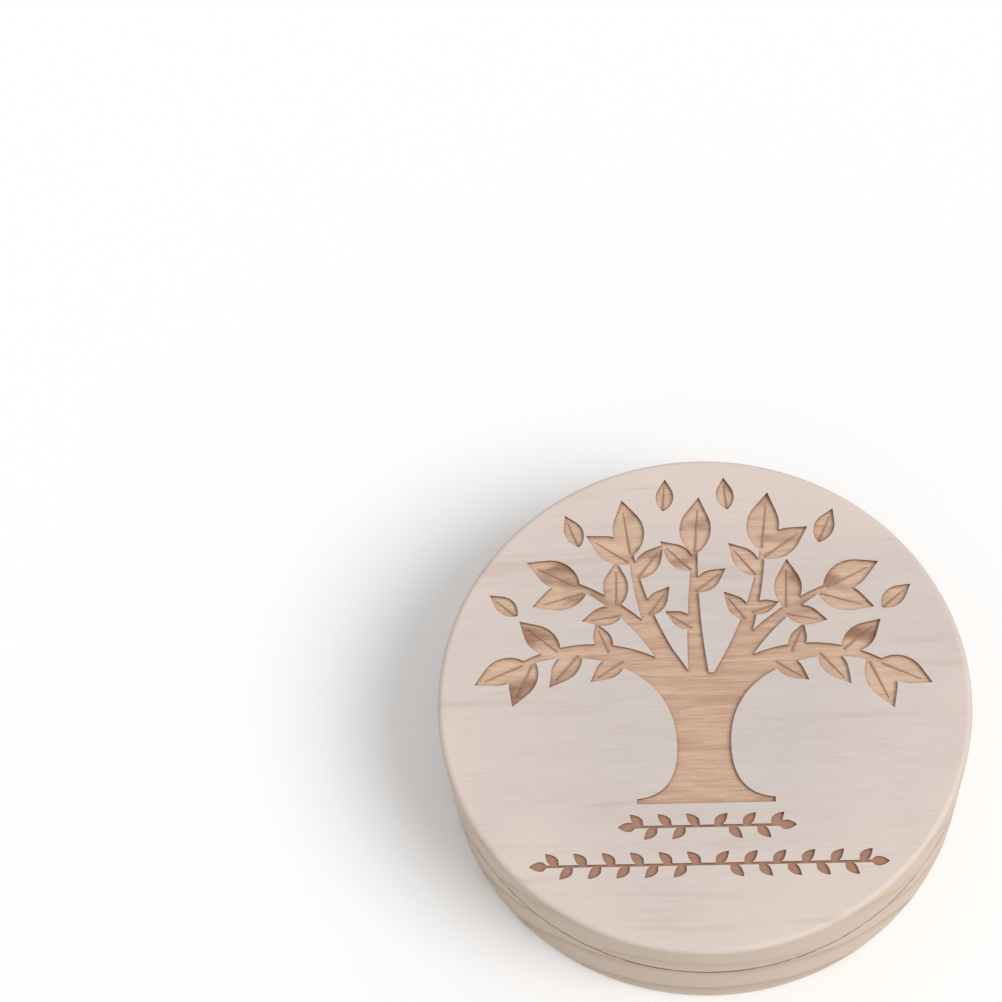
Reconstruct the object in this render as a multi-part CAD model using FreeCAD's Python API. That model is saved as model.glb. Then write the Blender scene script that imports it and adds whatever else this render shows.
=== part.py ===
import FreeCAD, Part
import math
import os
from collections import namedtuple

from FreeCAD import Vector

# A round wooden box for milk teeth. The base is drilled with twenty wells, one for each tooth, in two
# facing arches round a central pocket. The lid drops over a low tenon on the base, is held by four
# pairs of magnets set in the two rims, and has a leafy tree engraved in its top.
# Millimetres. +Z is up, the origin is the middle of the underside, and the tree grows towards +Y.

# Outside
BOX_DIAMETER = 120.0
BASE_HEIGHT = 19.0
LID_HEIGHT = 14.0
UNDERSIDE_BEVEL = 0.8
TOP_ROUND = 1.5
TOP_ROUND_STEPS = 2
SEAM_BEVEL = 0.35

# Tenon of the base and recess of the lid
RIM_WIDTH = 10.0
TENON_HEIGHT = 3.0
TENON_BEVEL = 0.5
TENON_CLEARANCE = 0.4
HEADROOM = 5.0

# Tooth wells, from the middle of an arch outwards
INCISOR_WELL = 8.5
SIDE_INCISOR_WELL = 8.0
CANINE_WELL = 8.5
FIRST_MOLAR_WELL = 9.5
SECOND_MOLAR_WELL = 10.5
WELL_DEPTH = 13.0
WELL_MARGIN = 2.5
ARCH_GAP = 12.0

# Central pocket
POCKET_WALL = 7.0
POCKET_DEPTH = 15.0

# Magnets
MAGNET_COUNT = 4
MAGNET_DIAMETER = 5.0
MAGNET_THICKNESS = 3.0
MAGNET_GLUE_GAP = 0.05
MAGNET_SET_BACK = 0.1

# Engraving of the lid. The motif is drawn round the middle of the lid with its crown reaching
# CROWN_REACH, and is then fitted to the lid with TREE_MARGIN of plain wood round it.
TREE_MARGIN = 4.0
TREE_DEPTH = 0.8
SPRIG_DEPTH = 0.6
CROWN_REACH = 56.0
TRUNK_FOOT_LEVEL = -26.0
TRUNK_FOOT_WIDTH = 30.5
TRUNK_FOOT_EDGE = 1.2
TRUNK_WAIST_LEVEL = -12.5
TRUNK_WAIST_WIDTH = 12.0
TRUNK_FOOT_SWEEP = 0.8
SHOULDER_SHARE = 0.4

# Leaves. Each side leaves the root and meets the tip at an angle to the leaf's middle line, and one
# side is fuller than the other. A low vein is left standing between two shares of the length.
FULL_SIDE_ROOT = 62.0
FULL_SIDE_TIP = 33.0
SLIM_SIDE_ROOT = 54.0
SLIM_SIDE_TIP = 27.0
VEIN_START = 0.08
VEIN_END = 0.8
VEIN_WIDTH = 0.45
VEIN_HEIGHT = 0.3
LEAF_SPREAD_ROOT = 65.0
LEAF_SPREAD_TIP = 45.0

# A limb runs from start to end, bows to its left by bow and tapers from root to tip. Each of its leaves
# has a share of the limb's length, a side (1 is left) and a length, and tip_leaf grows from its end.
Limb = namedtuple("Limb", "start end bow root tip tip_leaf leaves")
LIMBS = [
    Limb((0.5, -6.0), (41.0, 6.5), 9.0, 8.5, 1.3, 13.0,
         [(0.46, -1, 9.5), (0.55, 1, 8.0), (0.68, -1, 11.0), (0.79, 1, 12.0), (0.92, -1, 13.5)]),
    Limb((-0.5, -6.0), (-41.0, 8.0), -9.0, 8.5, 1.3, 13.0,
         [(0.48, 1, 10.0), (0.56, -1, 8.5), (0.70, 1, 11.5), (0.80, -1, 12.5), (0.93, 1, 12.5)]),
    Limb((2.0, -4.0), (29.5, 26.0), 4.0, 6.2, 1.2, 14.5,
         [(0.71, -1, 10.0), (0.73, 1, 13.0), (0.93, -1, 13.5)]),
    Limb((-2.0, -4.0), (-28.5, 28.0), -4.4, 6.2, 1.2, 14.0,
         [(0.68, 1, 10.0), (0.73, -1, 12.0), (0.92, 1, 13.5)]),
    Limb((0.8, -3.0), (15.0, 36.5), -2.5, 6.0, 1.1, 15.5,
         [(0.55, 1, 9.0), (0.60, -1, 7.0), (0.82, 1, 11.0), (0.93, -1, 13.5)]),
    Limb((-0.8, -3.0), (-15.5, 36.0), 2.5, 6.0, 1.1, 15.0,
         [(0.60, -1, 9.0), (0.83, -1, 11.0), (0.93, 1, 13.0)]),
    Limb((0.0, -2.0), (-0.5, 36.0), 1.0, 5.4, 1.1, 15.0,
         [(0.48, 1, 8.0), (0.72, -1, 9.5), (0.86, 1, 11.0)]),
]
TIP_LEAF_SHARE = 0.97

# Loose leaves along the top of the crown: bearing from straight up, distance out and length
LOOSE_LEAVES = [(9.0, 47.0, 8.5), (-9.5, 47.0, 8.5), (37.0, 46.5, 9.5), (-36.0, 46.5, 9.0),
                (64.0, 46.0, 9.0), (-64.0, 46.5, 8.5)]
LOOSE_TURN = 14.0

# Two sprigs below the tree: level and half length, with leaflets along a straight stem
SPRIGS = [(-31.3, 16.5), (-40.0, 36.0)]
SPRIG_STEM = 0.6
LEAFLET_LENGTH = 4.2
LEAFLET_WIDTH = 2.0
LEAFLET_FULL_START = 1.1
LEAFLET_FULL_END = 2.5
LEAFLET_PITCH = 3.1
LEAFLET_SPREAD = 44.0

# Sizes that follow from those above
BOX_RADIUS = BOX_DIAMETER / 2
TENON_RADIUS = BOX_RADIUS - RIM_WIDTH
RECESS_RADIUS = TENON_RADIUS + TENON_CLEARANCE
RECESS_DEPTH = TENON_HEIGHT + HEADROOM
TENON_TOP = BASE_HEIGHT + TENON_HEIGHT
LID_TOP = BASE_HEIGHT + LID_HEIGHT
WELLS = [INCISOR_WELL, SIDE_INCISOR_WELL, CANINE_WELL, FIRST_MOLAR_WELL, SECOND_MOLAR_WELL]
PITCH_RADIUS = TENON_RADIUS - WELL_MARGIN - max(WELLS) / 2
POCKET_RADIUS = PITCH_RADIUS - max(WELLS) / 2 - POCKET_WALL
MAGNET_RADIUS = (RECESS_RADIUS + BOX_RADIUS) / 2
MOTIF_SCALE = (BOX_RADIUS - TREE_MARGIN) / CROWN_REACH

UP = Vector(0, 0, 1)
ORIGIN = Vector(0, 0, 0)


def turned(outline):
    """Solid of revolution about Z from the (radius, height) corners of its outline."""
    corners = [Vector(radius, 0, height) for radius, height in outline]
    return Part.Face(Part.makePolygon(corners + corners[:1])).revolve(ORIGIN, UP, 360)


def rounded_edge(outer_radius, top, radius, steps):
    """Outline corners of an edge that is rounded over in even steps, from the side to the top."""
    corners = []
    for step in range(steps + 1):
        turn = math.radians(90.0 * step / steps)
        corners.append((outer_radius - radius * (1 - math.cos(turn)), top - radius * (1 - math.sin(turn))))
    return corners


def well_places():
    """Place and diameter of each well: two arches, mirrored, with even walls along the pitch circle."""
    arch_length = math.pi * PITCH_RADIUS
    wall = (arch_length - ARCH_GAP - 2 * sum(WELLS)) / (2 * len(WELLS) - 1)
    places = []
    for arch in (90.0, 270.0):
        for side in (1, -1):
            reached = wall / 2
            for diameter in WELLS:
                turn = math.radians(arch) + side * (reached + diameter / 2) / PITCH_RADIUS
                centre = Vector(PITCH_RADIUS * math.cos(turn), PITCH_RADIUS * math.sin(turn), 0)
                places.append((centre, diameter))
                reached += diameter + wall
    return places


def drilled(radius, depth, centre=ORIGIN):
    """Flat-bottomed round hole, sunk from the top of the tenon."""
    return Part.makeCylinder(radius, depth, centre + UP * (TENON_TOP - depth))


def magnet_places():
    """Middles of the magnets on the seam, between the tenon and the outside."""
    for number in range(MAGNET_COUNT):
        turn = math.radians(360.0 / MAGNET_COUNT * (number + 0.5))
        yield Vector(MAGNET_RADIUS * math.cos(turn), MAGNET_RADIUS * math.sin(turn), BASE_HEIGHT)


def magnet_pockets(direction):
    """Drilled pockets for the magnets of one rim, going up (1) or down (-1) from the seam."""
    depth = MAGNET_THICKNESS + MAGNET_SET_BACK
    radius = MAGNET_DIAMETER / 2 + MAGNET_GLUE_GAP
    return [Part.makeCylinder(radius, depth, place, UP * direction) for place in magnet_places()]


def magnet(place, direction):
    """Disc magnet seated on the floor of its pocket, just short of the seam."""
    seam_side = place + UP * (direction * MAGNET_SET_BACK)
    return Part.makeCylinder(MAGNET_DIAMETER / 2, MAGNET_THICKNESS, seam_side, UP * direction)


def base():
    """Turned base with its tenon, wells, pocket and magnet pockets."""
    blank = turned([(0, 0), (BOX_RADIUS - UNDERSIDE_BEVEL, 0), (BOX_RADIUS, UNDERSIDE_BEVEL),
                    (BOX_RADIUS, BASE_HEIGHT - SEAM_BEVEL), (BOX_RADIUS - SEAM_BEVEL, BASE_HEIGHT),
                    (TENON_RADIUS, BASE_HEIGHT), (TENON_RADIUS, TENON_TOP - TENON_BEVEL),
                    (TENON_RADIUS - TENON_BEVEL, TENON_TOP), (0, TENON_TOP)])
    wells = [drilled(diameter / 2, WELL_DEPTH, centre) for centre, diameter in well_places()]
    pocket = drilled(POCKET_RADIUS, POCKET_DEPTH)
    return blank.cut(wells + [pocket] + magnet_pockets(-1))


def lid():
    """Turned lid with its recess, magnet pockets and engraved top."""
    ceiling = BASE_HEIGHT + RECESS_DEPTH
    blank = turned([(0, ceiling), (RECESS_RADIUS, ceiling), (RECESS_RADIUS, BASE_HEIGHT),
                    (BOX_RADIUS - SEAM_BEVEL, BASE_HEIGHT), (BOX_RADIUS, BASE_HEIGHT + SEAM_BEVEL)]
                   + rounded_edge(BOX_RADIUS, LID_TOP, TOP_ROUND, TOP_ROUND_STEPS) + [(0, LID_TOP)])
    return blank.cut(magnet_pockets(1) + engraving())


def limb_line(limb):
    """Middle line of a limb, an arc bowed to its left."""
    start = Vector(*limb.start, 0)
    end = Vector(*limb.end, 0)
    chord = end - start
    left = UP.cross(chord).normalize()
    return Part.Arc(start, (start + end) * 0.5 + left * limb.bow, end)


def along(line, share):
    """Point and direction at a share of a line's length."""
    turn = line.FirstParameter + share * (line.LastParameter - line.FirstParameter)
    return line.value(turn), line.tangent(turn)[0]


def limb_edge(limb, side):
    """Left (1) or right (-1) edge of a limb, which tapers from its root to its tip."""
    line = limb_line(limb)
    points = []
    for share in (0, 0.5, 1):
        point, direction = along(line, share)
        width = limb.root + (limb.tip - limb.root) * share
        points.append(point + UP.cross(direction) * (side * width / 2))
    return Part.Arc(*points)


def limb_face(limb):
    """Tapered limb between its two edges."""
    left = limb_edge(limb, 1).toShape()
    right = limb_edge(limb, -1).toShape()
    ends = [Part.makeLine(left.Vertexes[end].Point, right.Vertexes[end].Point) for end in (0, -1)]
    return Part.Face(Part.Wire(Part.sortEdges([left, right] + ends)[0]))


def bezier(poles):
    """Edge that leaves its first pole towards the second and reaches the last from the one before."""
    curve = Part.BezierCurve()
    curve.setPoles(poles)
    return curve.toShape()


def trunk_side(limb, side):
    """Side of the trunk from the top of its foot, in to the waist and out along the limb above."""
    foot_top = Vector(side * TRUNK_FOOT_WIDTH / 2, TRUNK_FOOT_LEVEL + TRUNK_FOOT_EDGE, 0)
    waist = Vector(side * TRUNK_WAIST_WIDTH / 2, TRUNK_WAIST_LEVEL, 0)
    shoulder, direction = along(limb_edge(limb, -side), SHOULDER_SHARE)
    rise = (waist.x - shoulder.x) * direction.y / direction.x
    under_waist = Vector(waist.x, foot_top.y + TRUNK_FOOT_SWEEP, 0)
    over_waist = Vector(waist.x, shoulder.y + rise, 0)
    return [bezier([foot_top, under_waist, waist]), bezier([waist, over_waist, shoulder])]


def trunk_face():
    """Trunk with a spreading foot, whose sides sweep up into the two lowest limbs."""
    right = trunk_side(LIMBS[0], 1)
    left = trunk_side(LIMBS[1], -1)
    foot = [Vector(side * TRUNK_FOOT_WIDTH / 2, TRUNK_FOOT_LEVEL, 0) for side in (1, -1)]
    edges = right + left + [
        Part.makeLine(right[1].Vertexes[-1].Point, left[1].Vertexes[-1].Point),
        Part.makeLine(right[0].Vertexes[0].Point, foot[0]),
        Part.makeLine(foot[0], foot[1]),
        Part.makeLine(foot[1], left[0].Vertexes[0].Point)]
    return Part.Face(Part.Wire(Part.sortEdges(edges)[0]))


def leaf_side(length, root_angle, tip_angle, side):
    """Side of a leaf that grows along +X: an arc from the root, then straight on to the tip."""
    root, tip = math.radians(root_angle), math.radians(tip_angle)
    reach = math.sin(root) + math.sin(tip) + (math.cos(tip) - math.cos(root)) / math.tan(tip)
    radius = length / reach
    points = []
    for turn in (root, (root - tip) / 2, -tip):
        points.append(Vector(radius * (math.sin(root) - math.sin(turn)),
                             side * radius * (math.cos(turn) - math.cos(root)), 0))
    return [Part.Arc(*points).toShape(), Part.makeLine(points[2], Vector(length, 0, 0))]


def leaf_faces(place, heading, length, full_side):
    """Pointed leaf, fuller on its left (1) or right (-1), and the vein along its middle."""
    edges = leaf_side(length, FULL_SIDE_ROOT, FULL_SIDE_TIP, full_side)
    edges += leaf_side(length, SLIM_SIDE_ROOT, SLIM_SIDE_TIP, -full_side)
    root = [Vector(VEIN_START * length, side * VEIN_WIDTH / 2, 0) for side in (1, -1)]
    vein = Part.makePolygon(root + [Vector(VEIN_END * length, 0, 0), root[0]])
    faces = Part.Face(Part.Wire(Part.sortEdges(edges)[0])), Part.Face(vein)
    turn = math.degrees(heading)
    return [face.rotated(ORIGIN, UP, turn).translated(place) for face in faces]


def heading_of(direction):
    return math.atan2(direction.y, direction.x)


def crown_leaves():
    """Leaves along the limbs, at their tips and loose above them, each with its vein."""
    for number, limb in enumerate(LIMBS):
        line = limb_line(limb)
        for share, side, length in limb.leaves:
            place, direction = along(line, share)
            spread = math.radians(LEAF_SPREAD_ROOT + share * (LEAF_SPREAD_TIP - LEAF_SPREAD_ROOT))
            yield leaf_faces(place, heading_of(direction) + side * spread, length, -side)
        place, direction = along(line, TIP_LEAF_SHARE)
        yield leaf_faces(place, heading_of(direction), limb.tip_leaf, (-1) ** number)
    for bearing, distance, length in LOOSE_LEAVES:
        outward = math.radians(90 - bearing)
        place = Vector(distance * math.cos(outward), distance * math.sin(outward), 0)
        side = int(math.copysign(1, bearing))
        yield leaf_faces(place, outward + side * math.radians(LOOSE_TURN), length, side)


def leaflet_face(place, heading):
    """Straight-sided leaflet of a sprig."""
    half = LEAFLET_WIDTH / 2
    corners = [Vector(0, 0, 0), Vector(LEAFLET_FULL_START, half, 0), Vector(LEAFLET_FULL_END, half, 0),
               Vector(LEAFLET_LENGTH, 0, 0),
               Vector(LEAFLET_FULL_END, -half, 0), Vector(LEAFLET_FULL_START, -half, 0)]
    leaflet = Part.Face(Part.makePolygon(corners + corners[:1]))
    return leaflet.rotated(ORIGIN, UP, math.degrees(heading)).translated(place)


def sprig_faces(level, half_length):
    """Straight stem with leaflets that alternate and point outwards from its middle."""
    corner = Vector(-half_length, level - SPRIG_STEM / 2, 0)
    yield Part.makePlane(2 * half_length, SPRIG_STEM, corner)
    for outward in (1, -1):
        for number in range(int(half_length / LEAFLET_PITCH)):
            place = Vector(outward * (number + 0.5) * LEAFLET_PITCH, level, 0)
            spread = math.radians(LEAFLET_SPREAD) * (-1) ** number
            yield leaflet_face(place, spread if outward > 0 else math.pi - spread)
        end = Vector(outward * (half_length - LEAFLET_FULL_START), level, 0)
        yield leaflet_face(end, 0 if outward > 0 else math.pi)


def sunk(faces, depth):
    """Cutter that sinks a drawn shape into the top of the lid, fitted to the lid's size."""
    floor = Vector(0, 0, LID_TOP - depth)
    prisms = [face.scaled(MOTIF_SCALE).translated(floor).extrude(UP * depth) for face in faces]
    return prisms[0].multiFuse(prisms[1:]).removeSplitter()


def engraving():
    """Cutters for the tree and the two sprigs."""
    leaves, veins = zip(*crown_leaves())
    tree = sunk([trunk_face()] + [limb_face(limb) for limb in LIMBS] + list(leaves), TREE_DEPTH)
    floor = Vector(0, 0, LID_TOP - TREE_DEPTH)
    ribs = [vein.scaled(MOTIF_SCALE).translated(floor).extrude(UP * VEIN_HEIGHT) for vein in veins]
    sprigs = [sunk(list(sprig_faces(level, half_length)), SPRIG_DEPTH) for level, half_length in SPRIGS]
    return [tree.cut(ribs)] + sprigs


def main():
    os.makedirs("parts", exist_ok=True)
    pieces = {"base": base(), "lid": lid()}
    for number, place in enumerate(magnet_places(), start=1):
        pieces[f"base_magnet_{number}"] = magnet(place, -1)
        pieces[f"lid_magnet_{number}"] = magnet(place, 1)
    for name, shape in pieces.items():
        shape.exportStep(f"parts/{name}.step")
        print(name, "solids", len(shape.Solids), "valid", shape.isValid(), "volume", round(shape.Volume, 1))


main()
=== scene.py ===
import math
from collections import namedtuple

import bmesh
import bpy
from mathutils import Euler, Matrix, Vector
from mathutils.geometry import delaunay_2d_cdt, interpolate_bezier
from mathutils.kdtree import KDTree


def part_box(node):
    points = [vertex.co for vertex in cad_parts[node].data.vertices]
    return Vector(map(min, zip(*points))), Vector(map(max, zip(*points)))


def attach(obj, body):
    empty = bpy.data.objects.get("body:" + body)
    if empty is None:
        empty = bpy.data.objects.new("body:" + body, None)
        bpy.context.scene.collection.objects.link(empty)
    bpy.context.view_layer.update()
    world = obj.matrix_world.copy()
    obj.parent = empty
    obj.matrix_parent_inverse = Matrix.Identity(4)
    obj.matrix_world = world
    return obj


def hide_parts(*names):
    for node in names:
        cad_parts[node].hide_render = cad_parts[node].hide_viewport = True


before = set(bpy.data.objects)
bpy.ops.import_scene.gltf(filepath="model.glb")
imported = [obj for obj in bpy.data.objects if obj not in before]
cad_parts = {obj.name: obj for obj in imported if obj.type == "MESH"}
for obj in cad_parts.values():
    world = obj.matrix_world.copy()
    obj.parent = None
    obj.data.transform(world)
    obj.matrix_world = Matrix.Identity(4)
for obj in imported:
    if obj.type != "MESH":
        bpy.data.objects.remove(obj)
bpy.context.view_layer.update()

# Looks of a round wooden box for milk teeth: a pale, fine-grained lid with a toasted engraving, a beige
# base with broad grain, a scorched seam between them, and plated magnets in the rims.
# Metres. +Z is up and the grain of the wood runs along X.

MM = 0.001

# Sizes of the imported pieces
LID_LOW, LID_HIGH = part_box("lid")
BASE_LOW, BASE_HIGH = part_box("base")
BOX_RADIUS = LID_HIGH.x
LID_TOP = LID_HIGH.z
SEAM = LID_LOW.z
TENON_TOP = BASE_HIGH.z
FLOOR_LEVEL = BASE_LOW.z

# Sizes of what is cut in them. The depth of a vein is that of its crest below the lid's top.
TREE_DEPTH = 0.8 * MM
SPRIG_DEPTH = 0.6 * MM
VEIN_DEPTH = 0.5 * MM
TOP_ROUND = 1.5 * MM
SEAM_BEVEL = 0.35 * MM
RECESS_DEPTH = 8.0 * MM


def srgb(red, green, blue):
    """Colour as Blender's linear values, from levels of 0 to 255."""
    def linear(level):
        share = level / 255
        return share / 12.92 if share <= 0.04045 else ((share + 0.055) / 1.055) ** 2.4
    return (linear(red), linear(green), linear(blue), 1.0)


# Tones of the wood and the plate
FACE_PALE = srgb(212, 201, 195)
FACE_GRAIN = srgb(200, 186, 179)
FACE_PEACH = srgb(225, 208, 198)
RIM_PALE = srgb(210, 193, 177)
RIM_BAND = srgb(185, 161, 138)
TOAST_PALE = srgb(238, 206, 180)
TOAST_BAND = srgb(189, 150, 125)
TOAST_DARK = srgb(160, 120, 98)
VEIN_BROWN = srgb(181, 142, 117)
SPRIG_BROWN = srgb(180, 138, 117)
SCORCH_BROWN = srgb(118, 85, 67)
WELL_TONE = srgb(203, 184, 164)
PLATE_BRIGHT = srgb(190, 187, 181)
PLATE_DULL = srgb(178, 175, 169)

# Values between which most of a noise lies
NOISE_SPAN = (0.3, 0.7)

# Factors that drop one direction of a position
WITHOUT_X = (0, 1, 1)
WITHOUT_Z = (1, 1, 0)


class Wiring:
    """Adds nodes to one node tree and hands back their outputs."""

    def __init__(self, tree):
        self.tree = tree

    def node(self, kind, inputs=None, **settings):
        """A new node with these settings, and with values or links at its inputs."""
        made = self.tree.nodes.new(kind)
        for name, value in settings.items():
            setattr(made, name, value)
        for key, value in (inputs or {}).items():
            self.give(made.inputs[key], value)
        return made

    def give(self, socket, value):
        """Links a socket to another node's output, or sets its value."""
        if isinstance(value, bpy.types.NodeSocket):
            self.tree.links.new(value, socket)
        else:
            socket.default_value = value

    def math(self, operation, first, second=0.0, third=0.0):
        values = {0: first, 1: second, 2: third}
        return self.node("ShaderNodeMath", values, operation=operation).outputs[0]

    def vector(self, operation, first, second=(0, 0, 0)):
        return self.node("ShaderNodeVectorMath", {0: first, 1: second}, operation=operation).outputs[0]

    def length(self, value):
        return self.node("ShaderNodeVectorMath", {0: value}, operation="LENGTH").outputs["Value"]

    def parts(self, value):
        return self.node("ShaderNodeSeparateXYZ", {0: value}).outputs

    def from_axis(self, position):
        """Distance of a position from the middle line of the box."""
        return self.length(self.vector("MULTIPLY", position, WITHOUT_Z))

    def noise(self, position, cells=1.0, detail=2.0, roughness=0.5, distortion=0.0):
        """Cloudy noise with so many cells to a unit of length, as one number or along X, Y and Z."""
        if isinstance(cells, tuple):
            position = self.vector("MULTIPLY", position, cells)
            cells = 1.0
        inputs = {"Vector": position, "Scale": cells, "Detail": detail, "Roughness": roughness,
                  "Distortion": distortion}
        return self.node("ShaderNodeTexNoise", inputs).outputs[0]

    def fade(self, value, start, end, low=0.0, high=1.0):
        """A soft step from low at start to high at end."""
        inputs = {"Value": value, "From Min": start, "From Max": end, "To Min": low, "To Max": high}
        return self.node("ShaderNodeMapRange", inputs, interpolation_type="SMOOTHSTEP").outputs[0]

    def above(self, value, limit):
        """A mask of 1 where a value is over a limit."""
        return self.math("GREATER_THAN", value, limit)

    def below(self, value, limit):
        """A mask of 1 where a value is under a limit."""
        return self.math("LESS_THAN", value, limit)

    def both(self, first, second):
        """Where two masks meet: the one times the other."""
        return self.math("MULTIPLY", first, second)

    def total(self, *marks, start=0.0):
        """Marks added up from a start, each given with its strength."""
        added = start
        for mark, strength in marks:
            added = self.math("MULTIPLY_ADD", mark, strength, added)
        return added

    def tint(self, under, over, mask, strength=1.0):
        """One colour laid over another where a mask shows, at this strength."""
        inputs = {0: self.both(mask, strength), 6: under, 7: over}
        return self.node("ShaderNodeMix", inputs, data_type="RGBA").outputs[2]

    def profile(self, value, stops):
        """A value that runs through the heights given at stops of 0 to 1."""
        made = self.node("ShaderNodeValToRGB", {0: value})
        made.color_ramp.interpolation = "EASE"
        elements = made.color_ramp.elements
        while len(elements) < len(stops):
            elements.new(1.0)
        for element, (place, height) in zip(elements, stops):
            element.position = place
            element.color = (height, height, height, 1.0)
        return made.outputs[0]

    def placed(self, effect, position, values):
        """Outputs of a shared effect at a position, with its other values by the names of its sockets."""
        return self.node("ShaderNodeGroup", {"Position": position, **values}, node_tree=effect).outputs


# Shared effects, each a shader node group that is built once


def new_effect(name, inputs, outputs):
    """A shader node group with named sockets: the group, its wiring, and its inputs and outputs inside."""
    group = bpy.data.node_groups.new(name, "ShaderNodeTree")
    for label, kind in inputs.items():
        group.interface.new_socket(label, in_out="INPUT", socket_type="NodeSocket" + kind)
    for label in outputs:
        group.interface.new_socket(label, in_out="OUTPUT", socket_type="NodeSocketFloat")
    wire = Wiring(group)
    given = wire.node("NodeGroupInput").outputs
    taken = wire.node("NodeGroupOutput").inputs
    return group, wire, given, taken


# Darkness across one year of growth: none in the early wood, most at the end of the late wood
RING_PROFILE = [(0.0, 0.3), (0.06, 0.0), (0.58, 0.0), (0.84, 0.5), (0.94, 1.0), (1.0, 0.3)]

# Cells of the swelling that makes the rings waver
SWELL_CELLS = (14, 45, 45)


def growth_rings():
    """Yearly rings round the heart of the log, which runs along X and drifts sideways."""
    group, wire, given, taken = new_effect(
        "growth_rings",
        {"Position": "Vector", "Heart": "Vector", "Drift": "Vector",
         "Ring Width": "Float", "Waver": "Float"},
        ["Late Wood"])
    place = wire.vector("SUBTRACT", given["Position"], given["Heart"])
    along = wire.parts(place)[0]
    drift = wire.node("ShaderNodeVectorMath", {0: given["Drift"], "Scale": along}, operation="SCALE")
    across = wire.vector("MULTIPLY", wire.vector("SUBTRACT", place, drift.outputs[0]), WITHOUT_X)
    swell = wire.math("SUBTRACT", wire.noise(place, SWELL_CELLS, roughness=0.4), 0.5)
    radius = wire.total((swell, given["Waver"]), start=wire.length(across))
    phase = wire.math("FRACT", wire.math("DIVIDE", radius, given["Ring Width"]))
    wire.give(taken["Late Wood"], wire.profile(phase, RING_PROFILE))
    return group


def in_cells(wire, given):
    """The position counted in cells of the given length along X and the given width across it."""
    width = given["Width"]
    size = wire.node("ShaderNodeCombineXYZ", {0: given["Length"], 1: width, 2: width})
    return wire.vector("DIVIDE", given["Position"], size.outputs[0])


def grain_lines():
    """Irregular figure along X, the contours of a drawn-out noise: lines, and bands of tone between."""
    group, wire, given, taken = new_effect(
        "grain_lines", {"Position": "Vector", "Length": "Float", "Width": "Float", "Count": "Float"},
        ["Line", "Band"])
    field = wire.noise(in_cells(wire, given), roughness=0.45, distortion=0.35)
    count = wire.both(field, given["Count"])
    wire.give(taken["Line"], wire.profile(wire.math("FRACT", count), RING_PROFILE))
    shade = wire.node("ShaderNodeTexWhiteNoise", {"W": wire.math("FLOOR", count)}, noise_dimensions="1D")
    wire.give(taken["Band"], shade.outputs["Value"])
    return group


# The pores lie elsewhere than the fibres, and are a little larger than their cells
PORE_SHIFT = (7.3, 2.9, 5.1)
PORE_CELLS = 0.8


def wood_fibres():
    """Fine fibres and short open pores along X."""
    group, wire, given, taken = new_effect(
        "wood_fibres", {"Position": "Vector", "Length": "Float", "Width": "Float"}, ["Fibre", "Pores"])
    place = in_cells(wire, given)
    fibres = wire.noise(place, detail=4.0, roughness=0.62)
    pores = wire.noise(wire.vector("ADD", place, PORE_SHIFT), PORE_CELLS, detail=1.0)
    wire.give(taken["Fibre"], wire.fade(fibres, 0.25, 0.75))
    wire.give(taken["Pores"], wire.fade(pores, 0.6, 0.74))
    return group


# Reach of a burn, as shares of the given one, and the share of it that is burnt all through
SCORCH_CELLS = 420.0
SCORCH_LEAST = 0.72
SCORCH_MOST = 1.25
SCORCH_SOLID = 0.55


def scorch():
    """Heat browning that fades with the distance from what was burnt, with an uneven reach."""
    group, wire, given, taken = new_effect(
        "scorch", {"Position": "Vector", "Distance": "Float", "Reach": "Float"}, ["Burn"])
    uneven = wire.fade(wire.noise(given["Position"], SCORCH_CELLS), 0.2, 0.8, SCORCH_LEAST, SCORCH_MOST)
    share = wire.math("DIVIDE", given["Distance"], wire.both(given["Reach"], uneven))
    wire.give(taken["Burn"], wire.fade(share, 1.0, SCORCH_SOLID))
    return group


# Cells to one turning mark, of the noise that makes the marks uneven
TURN_CELLS = 0.37


def turning_marks():
    """Fine rings that a cutter leaves round the Z axis."""
    group, wire, given, taken = new_effect(
        "turning_marks", {"Position": "Vector", "Pitch": "Float"}, ["Height"])
    turns = wire.math("DIVIDE", wire.from_axis(given["Position"]), given["Pitch"])
    wave = wire.math("SINE", wire.both(turns, math.tau))
    uneven = wire.noise(wire.node("ShaderNodeCombineXYZ", {0: turns}).outputs[0], TURN_CELLS)
    wire.give(taken["Height"], wire.both(wave, uneven))
    return group


GROWTH_RINGS = growth_rings()
GRAIN_LINES = grain_lines()
WOOD_FIBRES = wood_fibres()
SCORCH = scorch()
TURNING_MARKS = turning_marks()

# Grain of the two woods. Hearts are places and drifts are per metre along X.
LID_FIGURE = {"Length": 75 * MM, "Width": 12 * MM, "Count": 15.0}
LID_RINGS = {
    "Heart": (-0.02, -0.12, -0.05), "Drift": (0, -0.04, 0.02), "Ring Width": 12 * MM, "Waver": 12 * MM}
LID_FIBRES = {"Length": 7.0 * MM, "Width": 0.32 * MM}
BASE_RINGS = {
    "Heart": (0.015, -0.105, -0.06), "Drift": (0, 0.06, -0.05), "Ring Width": 9 * MM, "Waver": 10 * MM}
BASE_FIBRES = {"Length": 8.0 * MM, "Width": 0.4 * MM}
TURNING = {"Pitch": 0.9 * MM}

# Cells to the metre of each finish's own noise
CLOUD_CELLS = (16, 230, 230)
MOTTLE_CELLS = 26.0
STRIPE_CELLS = (24, 520, 0)
PATCH_CELLS = (55, 110, 0)
SOOT_AND_SHADE_CELLS = 700.0
SCUFF_CELLS = (5200, 900, 900)
TARNISH_CELLS = 900.0

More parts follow.
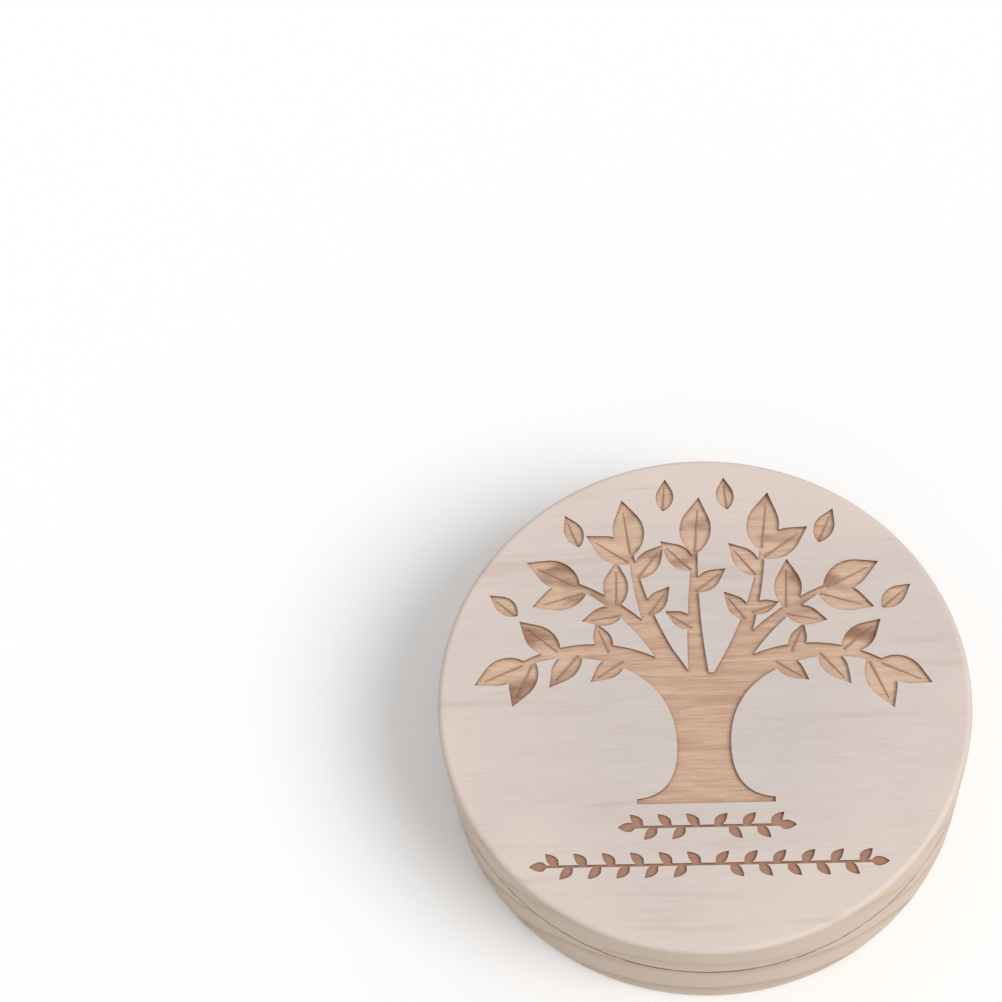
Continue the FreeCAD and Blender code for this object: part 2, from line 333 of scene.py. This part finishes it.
# Bounds of the finishes on the lid
CUT_START = 0.1 * MM
CUT_END = 1.5 * TREE_DEPTH
BARE_EDGE = 3 * MM
WARMTH_START = 0.35 * BOX_RADIUS
CROWN_START = 0.4 * BOX_RADIUS
CROWN_FULL = 0.6 * BOX_RADIUS
RECESS_START = SEAM + RECESS_DEPTH - MM

# Bounds of the finishes on the base, and of the scorch along the seam
BORED_RADIUS = 0.83 * BOX_RADIUS
BORED_TOP = TENON_TOP - 0.6 * MM
SEAM_REACH = 1.3 * SEAM_BEVEL
SEAM_INWARDS = 2 * SEAM_BEVEL

# The normal of a floor rises more than FLOOR_RISE, and that of a ceiling less than CEILING_RISE
FLOOR_RISE = 0.7
CEILING_RISE = -0.5

# Roughness of each finish, and what fibres, cuts and scuffs add to it
LID_ROUGH = 0.52
BASE_ROUGH = 0.54
PLATE_ROUGH = 0.3
FIBRE_ROUGH = 0.14
CUT_ROUGH = 0.15
SCUFF_ROUGH = 0.1

# Depths of relief, the share of the grain's relief that sanding leaves and what burning adds to it, and the
# gloss of bare wood
LID_RELIEF = 0.12 * MM
BASE_RELIEF = 0.08 * MM
PLATE_RELIEF = 0.002 * MM
SANDED_GRAIN = 0.12
BURNT_GRAIN = 0.8
WOOD_GLOSS = 0.35


def finish(name):
    """A new material, its wiring and its Principled shader."""
    material = bpy.data.materials.new(name)
    material.use_nodes = True
    material.node_tree.nodes.clear()
    wire = Wiring(material.node_tree)
    shader = wire.node("ShaderNodeBsdfPrincipled")
    wire.node("ShaderNodeOutputMaterial", {"Surface": shader.outputs[0]})
    return material, wire, shader


def bump(wire, height, depth):
    """Normals of a relief of this depth."""
    return wire.node("ShaderNodeBump", {"Height": height, "Strength": 1.0, "Distance": depth}).outputs[0]


Place = namedtuple("Place", "position height out up")


def shaded_place(wire):
    """A place on a surface: its position, height, distance out from the axis and rise of its normal."""
    position = wire.node("ShaderNodeTexCoord").outputs["Object"]
    up = wire.parts(wire.node("ShaderNodeNewGeometry").outputs["True Normal"])[2]
    return Place(position, wire.parts(position)[2], wire.from_axis(position), up)


def scorched_seam(wire, at, wood, distance):
    """Wood with a burnt line along the outer edge of the seam, by the distance from it."""
    burn = wire.placed(SCORCH, at.position, {"Distance": distance, "Reach": SEAM_REACH})["Burn"]
    outer = wire.above(at.out, BOX_RADIUS - SEAM_INWARDS)
    return wire.tint(wood, SCORCH_BROWN, wire.both(burn, outer))


def pale_face(wire, at, figure, fibres):
    """Pale sanded wood with faint streaks, warmer towards the edge of the lid."""
    drawn = wire.noise(at.position, CLOUD_CELLS, detail=3.0)
    cloud = wire.fade(drawn, *NOISE_SPAN)
    streaks = wire.fade(drawn, 0.6, 0.72)
    mottle = wire.fade(wire.noise(at.position, MOTTLE_CELLS), *NOISE_SPAN, low=0.35)
    warmth = wire.both(wire.fade(at.out, WARMTH_START, BOX_RADIUS), mottle)
    grain = wire.total((fibres["Fibre"], 0.42), (figure["Line"], 0.2), (cloud, 0.3))
    face = wire.tint(FACE_PALE, FACE_GRAIN, grain)
    face = wire.tint(face, FACE_PEACH, warmth, strength=0.85)
    return wire.tint(face, RIM_BAND, streaks, strength=0.25)


def toasted_floor(wire, at, figure, fibres):
    """Floor of the tree: finely striped, with dark patches in the crown, a paler tone in the crown that is
    painted light against the shade in its small cuts, and soot with painted shade along its walls.
    """
    stripes = wire.fade(wire.noise(at.position, STRIPE_CELLS), 0.35, 0.65, low=0.2, high=0.8)
    crown = wire.fade(at.out, CROWN_START, CROWN_FULL)
    patch = wire.both(wire.fade(wire.noise(at.position, PATCH_CELLS), 0.5, 0.66), crown)
    grain = wire.total((fibres["Fibre"], 0.4), (figure["Band"], 0.25), (stripes, 0.45))
    toast = wire.tint(TOAST_PALE, TOAST_BAND, grain)
    # Painted light: the crown is paler, to offset the shade that falls in its small, deep cuts
    toast = wire.tint(toast, TOAST_PALE, crown, strength=0.45)
    toast = wire.tint(toast, TOAST_DARK, wire.total((patch, 0.85), (figure["Line"], 0.2)))
    # Soot with painted shade: the floors darken towards the walls of the cuts, where shade falls
    soot_and_shade = wire.node("ShaderNodeAttribute", attribute_name="soot_and_shade").outputs["Fac"]
    uneven = wire.fade(wire.noise(at.position, SOOT_AND_SHADE_CELLS), *NOISE_SPAN, low=0.15, high=0.5)
    return wire.tint(toast, SCORCH_BROWN, wire.both(wire.math("POWER", soot_and_shade, 1.5), uneven))


def burnt_cut(wire, at, depth, figure, fibres):
    """The cuts: toasted floors, browner in the sprigs and on the veins, and walls burnt most at the top."""
    toast = toasted_floor(wire, at, figure, fibres)
    toast = wire.tint(toast, SPRIG_BROWN, wire.below(depth, (TREE_DEPTH + SPRIG_DEPTH) / 2))
    toast = wire.tint(toast, VEIN_BROWN, wire.below(depth, (SPRIG_DEPTH + VEIN_DEPTH) / 2))
    wall = wire.tint(SCORCH_BROWN, VEIN_BROWN, wire.fade(depth, 0.0, TREE_DEPTH))
    return wire.tint(wall, toast, wire.above(at.up, FLOOR_RISE))


def lid_wood():
    """Pale face, beige rim, toasted engraving with scorched walls, and a turned recess."""
    material, wire, shader = finish("lid_wood")
    at = shaded_place(wire)
    depth = wire.math("SUBTRACT", LID_TOP, at.height)
    figure = wire.placed(GRAIN_LINES, at.position, LID_FIGURE)
    rings = wire.placed(GROWTH_RINGS, at.position, LID_RINGS)
    fibres = wire.placed(WOOD_FIBRES, at.position, LID_FIBRES)

    # Masks of the upper side, the engraving and the recess
    upper = wire.fade(wire.parts(wire.node("ShaderNodeNewGeometry").outputs["Normal"])[2], 0.25, 0.95)
    engraved = wire.both(wire.above(depth, CUT_START), wire.below(depth, CUT_END))
    engraved = wire.both(engraved, wire.below(at.out, BOX_RADIUS - BARE_EDGE))
    recess = wire.both(wire.below(at.up, CEILING_RISE), wire.above(at.height, RECESS_START))

    # Colour
    rim = wire.tint(RIM_PALE, RIM_BAND, wire.total((fibres["Fibre"], 0.35), (rings["Late Wood"], 0.4)))
    wood = wire.tint(rim, pale_face(wire, at, figure, fibres), upper)
    wood = wire.tint(wood, burnt_cut(wire, at, depth, figure, fibres), engraved)
    wood = scorched_seam(wire, at, wood, wire.math("SUBTRACT", at.height, SEAM))
    wood = wire.tint(wood, RIM_BAND, fibres["Pores"], strength=0.18)
    wire.give(shader.inputs["Base Color"], wood)

    # Roughness and relief
    rough = wire.total((fibres["Fibre"], FIBRE_ROUGH), (engraved, CUT_ROUGH), start=LID_ROUGH)
    wire.give(shader.inputs["Roughness"], rough)
    marks = wire.placed(TURNING_MARKS, at.position, TURNING)["Height"]
    grain = wire.total((figure["Line"], -0.5), start=fibres["Fibre"])
    relief = wire.both(grain, wire.total((engraved, BURNT_GRAIN), start=SANDED_GRAIN))
    relief = wire.total((wire.both(marks, recess), 0.5), start=relief)
    wire.give(shader.inputs["Normal"], bump(wire, relief, LID_RELIEF))
    shader.inputs["Specular IOR Level"].default_value = WOOD_GLOSS
    return material


def base_wood():
    """Beige wood with broad tan grain, a scorched seam, and bored wells and pocket."""
    material, wire, shader = finish("base_wood")
    at = shaded_place(wire)
    rings = wire.placed(GROWTH_RINGS, at.position, BASE_RINGS)
    fibres = wire.placed(WOOD_FIBRES, at.position, BASE_FIBRES)
    bored = wire.both(wire.below(at.out, BORED_RADIUS), wire.below(at.height, BORED_TOP))

    # Colour
    grain = wire.total((fibres["Fibre"], 0.25), (rings["Late Wood"], 0.75))
    wood = wire.tint(RIM_PALE, RIM_BAND, grain)
    wood = wire.tint(wood, WELL_TONE, bored, strength=0.5)
    wood = scorched_seam(wire, at, wood, wire.math("SUBTRACT", SEAM, at.height))
    wood = wire.tint(wood, RIM_BAND, fibres["Pores"], strength=0.2)
    wire.give(shader.inputs["Base Color"], wood)

    # Roughness and relief
    rough = wire.total((fibres["Fibre"], FIBRE_ROUGH), start=BASE_ROUGH)
    wire.give(shader.inputs["Roughness"], rough)
    marks = wire.placed(TURNING_MARKS, at.position, TURNING)["Height"]
    marks = wire.both(marks, wire.both(bored, wire.above(at.up, FLOOR_RISE)))
    relief = wire.total((fibres["Fibre"], 0.4), (rings["Late Wood"], 0.2), (marks, 0.35))
    wire.give(shader.inputs["Normal"], bump(wire, relief, BASE_RELIEF))
    shader.inputs["Specular IOR Level"].default_value = WOOD_GLOSS
    return material


def magnet_plate():
    """Bright nickel plate with fine scuffs."""
    material, wire, shader = finish("magnet_plate")
    position = wire.node("ShaderNodeTexCoord").outputs["Object"]
    scuffs = wire.fade(wire.noise(position, SCUFF_CELLS, detail=3.0), 0.35, 0.75)
    tarnish = wire.fade(wire.noise(position, TARNISH_CELLS), *NOISE_SPAN)
    wire.give(shader.inputs["Base Color"], wire.tint(PLATE_BRIGHT, PLATE_DULL, tarnish))
    wire.give(shader.inputs["Roughness"], wire.total((scuffs, SCUFF_ROUGH), start=PLATE_ROUGH))
    wire.give(shader.inputs["Normal"], bump(wire, scuffs, PLATE_RELIEF))
    shader.inputs["Metallic"].default_value = 1.0
    return material


# Edges that turn more than SHARP_TURN stay sharp, and points within JOIN_DISTANCE are joined
SHARP_TURN = math.radians(50)
JOIN_DISTANCE = 0.001 * MM


def soft_edges():
    """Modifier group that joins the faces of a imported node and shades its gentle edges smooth."""
    group = bpy.data.node_groups.new("soft_edges", "GeometryNodeTree")
    group.interface.new_socket("Geometry", in_out="INPUT", socket_type="NodeSocketGeometry")
    group.interface.new_socket("Geometry", in_out="OUTPUT", socket_type="NodeSocketGeometry")
    wire = Wiring(group)
    given = wire.node("NodeGroupInput").outputs[0]
    joined = wire.node("GeometryNodeMergeByDistance", {"Geometry": given, "Distance": JOIN_DISTANCE})
    smooth = wire.node("GeometryNodeSetShadeSmooth", {"Geometry": joined.outputs[0]}, domain="FACE")
    angle = wire.node("GeometryNodeInputMeshEdgeAngle").outputs["Unsigned Angle"]
    crisp = wire.node(
        "GeometryNodeSetShadeSmooth",
        {"Geometry": smooth.outputs[0], "Selection": wire.above(angle, SHARP_TURN), "Shade Smooth": False},
        domain="EDGE")
    wire.give(wire.node("NodeGroupOutput").inputs[0], crisp.outputs[0])
    return group


# Drawing of the engraving. A turn sharper than CORNER is a corner, and the rest is drawn as curves.
CORNER = math.radians(40)
CURVE_STEP = 0.4 * MM
ROUND_STEPS = 8
CLOSE = 0.002 * MM

# Where an outline comes back to within SLIVER of itself in so many steps, the points between are left out
SLIVER = 0.1 * MM
SLIVER_POINTS = (4, 3, 2)

# Floors get points at these distances from an edge of a cut, unless an edge is nearer than the share of the
# distance given last below. Soot with painted shade, darker near the walls where shade falls, fades out at
# the last one.
SOOT_AND_SHADE_SPOTS = (0.25 * MM, 0.6 * MM)
SOOT_AND_SHADE_REACH = SOOT_AND_SHADE_SPOTS[-1]
SOOT_AND_SHADE_ROOM = 0.8

# The normal of a flat rises more than FLAT_RISE, and that of a wall less than WALL_RISE
FLAT_RISE = 0.99
WALL_RISE = 0.1

# The way delaunay_2d_cdt keeps the faces within outlines and leaves their holes open
INSIDE_WITH_HOLES = 2


def neighbours(row):
    """Each point of a closed row, between the ones before and after it."""
    return zip(row[-1:] + row[:-1], row, row[1:] + row[:1])


def without_slivers(points):
    """A closed outline that leaves out wood too thin to stand between two cuts."""
    row = []
    number = 0
    while number < len(points):
        row.append(points[number])
        ahead = {step: points[(number + step) % len(points)] for step in SLIVER_POINTS}
        number += next((step for step, far in ahead.items() if (far - points[number]).length < SLIVER), 1)
    return row


def mirrored(heading, along):
    """A heading mirrored in the direction of a side."""
    return 2 * along.dot(heading) * along - heading


def eased(points):
    """A closed outline with curves drawn through its points, except at its corners."""
    sides = [after - point for _, point, after in neighbours(points)]
    headings = []
    for before, after in zip(sides[-1:] + sides[:-1], sides):
        headings.append(None if before.angle(after) > CORNER else (before + after).normalized())
    row = []
    for point, side, start, end in zip(points, sides, headings, headings[1:] + headings[:1]):
        along = side.normalized()
        if start is None:
            start = mirrored(end, along) if end else along
        if end is None:
            end = mirrored(start, along)
        reach = side.length / 3
        steps = math.ceil(side.length / CURVE_STEP)
        after = point + side
        row += interpolate_bezier(point, point + start * reach, after - end * reach, after, steps + 1)[:-1]
    return [spot.xy for spot in row]


def outlines(mesh, level):
    """Outlines of the flats at one level where these end at walls, each with the foot of its wall."""
    following = {}
    for face in mesh.faces:
        if face.normal.z > FLAT_RISE and abs(face.verts[0].co.z - level) < CLOSE:
            for side in face.loops:
                if abs(side.link_loop_radial_next.face.normal.z) < WALL_RISE:
                    following[side.vert] = side.link_loop_next.vert
    found = []
    while following:
        vert = next(iter(following))
        row = []
        while vert in following:
            row.append(vert)
            vert = following.pop(vert)
        foot = min(corner.co.z for vert in row for face in vert.link_faces for corner in face.verts)
        found.append(([vert.co.xy for vert in row], foot))
    return found


def strip(mesh, low, high):
    """Faces between two closed rows of as many vertices."""
    for number in range(len(low)):
        mesh.faces.new((low[number - 1], low[number], high[number], high[number - 1]))


def upright_wall(mesh, row, foot, head):
    """Wall along a closed row of points, from one level up to another."""
    low = [mesh.verts.new((*point, foot)) for point in row]
    high = [mesh.verts.new((*point, head)) for point in row]
    strip(mesh, low, high)


def flat_fill(mesh, rows, level, spots=()):
    """Upward faces at one level within closed rows of points, where a row inside another is a hole."""
    points, loops = [], []
    for row in rows:
        loop = list(range(len(points), len(points) + len(row)))
        turning = sum(point.cross(after) for _, point, after in neighbours(row))
        loops.append(loop if turning > 0 else loop[::-1])
        points += row
    corners, _, faces, *_ = delaunay_2d_cdt(points + list(spots), [], loops, INSIDE_WITH_HOLES, CLOSE)
    verts = [mesh.verts.new((*corner, level)) for corner in corners]
    for face in faces:
        mesh.faces.new([verts[number] for number in face])


def round_top(mesh):
    """Closes the open upper edge of the rim with a fine round, and gives the outline of the flat in it."""
    ring = [vert for vert in mesh.verts if vert.is_boundary]
    ring.sort(key=lambda vert: math.atan2(vert.co.y, vert.co.x))
    ways = [vert.co.xy.normalized() for vert in ring]
    for step in range(1, ROUND_STEPS + 1):
        turn = math.pi / 2 * step / ROUND_STEPS
        radius = BOX_RADIUS - TOP_ROUND * (1 - math.cos(turn))
        level = LID_TOP - TOP_ROUND * (1 - math.sin(turn))
        higher = [mesh.verts.new((*(way * radius), level)) for way in ways]
        strip(mesh, ring, higher)
        ring = higher
    return [vert.co.xy for vert in ring]


def burnt_edges(cuts):
    """Points along the edges of the cuts, to be searched for the nearest one."""
    burnt = [point for row, _ in cuts for point in row]
    edges = KDTree(len(burnt))
    for number, point in enumerate(burnt):
        edges.insert(point.to_3d(), number)
    edges.balance()
    return edges


def from_edge(edges, point):
    """Distance of a point, seen from above, from the nearest edge of a cut."""
    return edges.find((point.x, point.y, 0))[2]


def soot_and_shade_spots(rows, edges):
    """Points along the inner sides of these cuts, for the soot and painted shade to fade out between."""
    spots = []
    for row in rows:
        for before, point, after in neighbours(row):
            way = (after - before).normalized()
            inwards = Vector((way.y, -way.x))
            beside = [(point + inwards * reach, reach) for reach in SOOT_AND_SHADE_SPOTS]
            spots += [spot for spot, reach in beside if from_edge(edges, spot) > SOOT_AND_SHADE_ROOM * reach]
    return spots


def lay_soot_and_shade(mesh, edges):
    """Soot and painted shade at each point of the cuts, from 1 at their edges to 0: darker near the walls,
    where shade falls.
    """
    soot_and_shade = mesh.verts.layers.float.new("soot_and_shade")
    for vert in mesh.verts:
        if LID_TOP - TREE_DEPTH - CLOSE < vert.co.z < LID_TOP - CLOSE:
            vert[soot_and_shade] = max(0.0, 1 - from_edge(edges, vert.co) / SOOT_AND_SHADE_REACH)


def engrave(mesh, cuts, veins, border):
    """The flat top within a border, the cuts down to their floors, and the veins that stand in them."""
    crest = LID_TOP - VEIN_DEPTH
    flat_fill(mesh, [border] + [row for row, _ in cuts], LID_TOP)
    flat_fill(mesh, [row for row, _ in veins], crest)
    for row, foot in cuts:
        upright_wall(mesh, row, foot, LID_TOP)
    for row, foot in veins:
        upright_wall(mesh, row, foot, crest)

    edges = burnt_edges(cuts)
    for level in (LID_TOP - TREE_DEPTH, LID_TOP - SPRIG_DEPTH):
        floors = [row for row, foot in cuts if abs(foot - level) < CLOSE]
        feet = [row for row, foot in veins if abs(foot - level) < CLOSE]
        flat_fill(mesh, floors + feet, level, soot_and_shade_spots(floors, edges))
    lay_soot_and_shade(mesh, edges)


def engraved_lid(wood):
    """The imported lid, with the outlines of its engraving drawn finely and a finer round at its top edge."""
    mesh = bmesh.new()
    mesh.from_mesh(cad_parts["lid"].data)
    bmesh.ops.remove_doubles(mesh, verts=mesh.verts, dist=CLOSE)
    cuts = [(eased(without_slivers(row)), foot) for row, foot in outlines(mesh, LID_TOP)]
    veins = [(eased(row), foot) for row, foot in outlines(mesh, LID_TOP - VEIN_DEPTH)]
    edge = LID_TOP - TOP_ROUND - CLOSE
    upper = [face for face in mesh.faces if min(vert.co.z for vert in face.verts) > edge]
    bmesh.ops.delete(mesh, geom=upper, context="FACES")
    engrave(mesh, cuts, veins, round_top(mesh))
    bmesh.ops.remove_doubles(mesh, verts=mesh.verts, dist=CLOSE)
    bmesh.ops.delete(mesh, geom=[vert for vert in mesh.verts if not vert.link_faces], context="VERTS")

    data = bpy.data.meshes.new("engraved_lid")
    mesh.to_mesh(data)
    mesh.free()
    if data.has_custom_normals:
        data.attributes.remove(data.attributes["custom_normal"])
    data.materials.append(wood)
    lid = bpy.data.objects.new("engraved_lid", data)
    bpy.context.scene.collection.objects.link(lid)
    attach(lid, "lid")
    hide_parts("lid")
    return lid


def dress_pieces():
    """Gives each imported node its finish, draws the engraved lid, and shades the edges of all softly."""
    finishes = {"lid": lid_wood(), "base": base_wood()}
    plate = magnet_plate()
    edges = soft_edges()
    for name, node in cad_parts.items():
        node.material_slots[0].material = finishes.get(name, plate)
    for piece in (*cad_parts.values(), engraved_lid(finishes["lid"])):
        piece.modifiers.new("soft_edges", "NODES").node_group = edges
        piece.modifiers.new("flat_faces", "WEIGHTED_NORMAL").keep_sharp = True


# Stage and light. Bearings run from +X towards +Y, in degrees.
FLOOR_SPAN = 6.0
FLOOR_SEEN = (0.99, 0.99, 0.99, 1.0)
FLOOR_BOUNCE = (0.8, 0.79, 0.78, 1.0)
WHITE = (1, 1, 1, 1)
SKY_STRENGTH = 0.62
KEY_STRENGTH = 1.7
KEY_BEARING = -25.0
KEY_ELEVATION = 46.0
KEY_SOFTNESS = 35.0


def towards(bearing, elevation):
    """Direction at a bearing and an elevation."""
    turn, rise = math.radians(bearing), math.radians(elevation)
    return Vector((math.cos(turn) * math.cos(rise), math.sin(turn) * math.cos(rise), math.sin(rise)))


def seen_directly(wire):
    """1 for the rays that show a surface to the camera, in metal or through glass, and 0 for its light."""
    path = wire.node("ShaderNodeLightPath").outputs
    shown = wire.math("MAXIMUM", path["Is Camera Ray"], path["Is Glossy Ray"])
    return wire.math("MAXIMUM", shown, path["Is Transmission Ray"])


def floor():
    """Wide pale floor under the box, which keeps its shadow."""
    half = FLOOR_SPAN / 2
    corners = [(x * half, y * half, FLOOR_LEVEL) for x, y in ((-1, -1), (1, -1), (1, 1), (-1, 1))]
    mesh = bpy.data.meshes.new("floor")
    mesh.from_pydata(corners, [], [(0, 1, 2, 3)])
    material, wire, shader = finish("pale_floor")
    wire.give(shader.inputs["Base Color"], wire.tint(FLOOR_BOUNCE, FLOOR_SEEN, seen_directly(wire)))
    shader.inputs["Roughness"].default_value = 1.0
    shader.inputs["Specular IOR Level"].default_value = 0.0
    mesh.materials.append(material)
    stand = bpy.data.objects.new("floor", mesh)
    bpy.context.scene.collection.objects.link(stand)


def light():
    """White surroundings and one broad key light from the right."""
    world = bpy.data.worlds.new("studio")
    world.use_nodes = True
    world.node_tree.nodes.clear()
    wire = Wiring(world.node_tree)
    strength = wire.node("ShaderNodeMapRange", {"Value": seen_directly(wire), "To Min": SKY_STRENGTH})
    sky = wire.node("ShaderNodeBackground", {"Color": WHITE, "Strength": strength.outputs[0]})
    wire.node("ShaderNodeOutputWorld", {"Surface": sky.outputs[0]})
    bpy.context.scene.world = world

    key = bpy.data.lights.new("key", "SUN")
    key.energy = KEY_STRENGTH
    key.angle = math.radians(KEY_SOFTNESS)
    lamp = bpy.data.objects.new("key", key)
    lamp.rotation_euler = towards(KEY_BEARING, KEY_ELEVATION).to_track_quat("Z", "Y").to_euler()
    bpy.context.scene.collection.objects.link(lamp)


# Camera. The middle of the lid's top lies right of and below the middle of the picture by these pixels.
PICTURE = 1002
LENS = 85.0
SENSOR = 36.0
VIEW_BEARING = -91.5
VIEW_ELEVATION = 67.2
VIEW_DISTANCE = 0.536
LID_RIGHT = 200.8
LID_DOWN = 192.6


def camera():
    """Camera at the photographed angle, turned so that the lid lies low and to the right."""
    data = bpy.data.cameras.new("view")
    data.lens = LENS
    data.sensor_width = SENSOR
    view = bpy.data.objects.new("view", data)
    way = towards(VIEW_BEARING, VIEW_ELEVATION)
    view.location = Vector((0, 0, LID_TOP)) + way * VIEW_DISTANCE
    focal = PICTURE * LENS / SENSOR
    left = Euler((0, math.atan2(LID_RIGHT, focal), 0)).to_quaternion()
    up = Euler((math.atan2(LID_DOWN, focal), 0, 0)).to_quaternion()
    view.rotation_euler = (way.to_track_quat("Z", "Y") @ left @ up).to_euler()
    bpy.context.scene.collection.objects.link(view)
    bpy.context.scene.camera = view


dress_pieces()
floor()
light()
camera()
bpy.context.scene.view_settings.view_transform = "Standard"
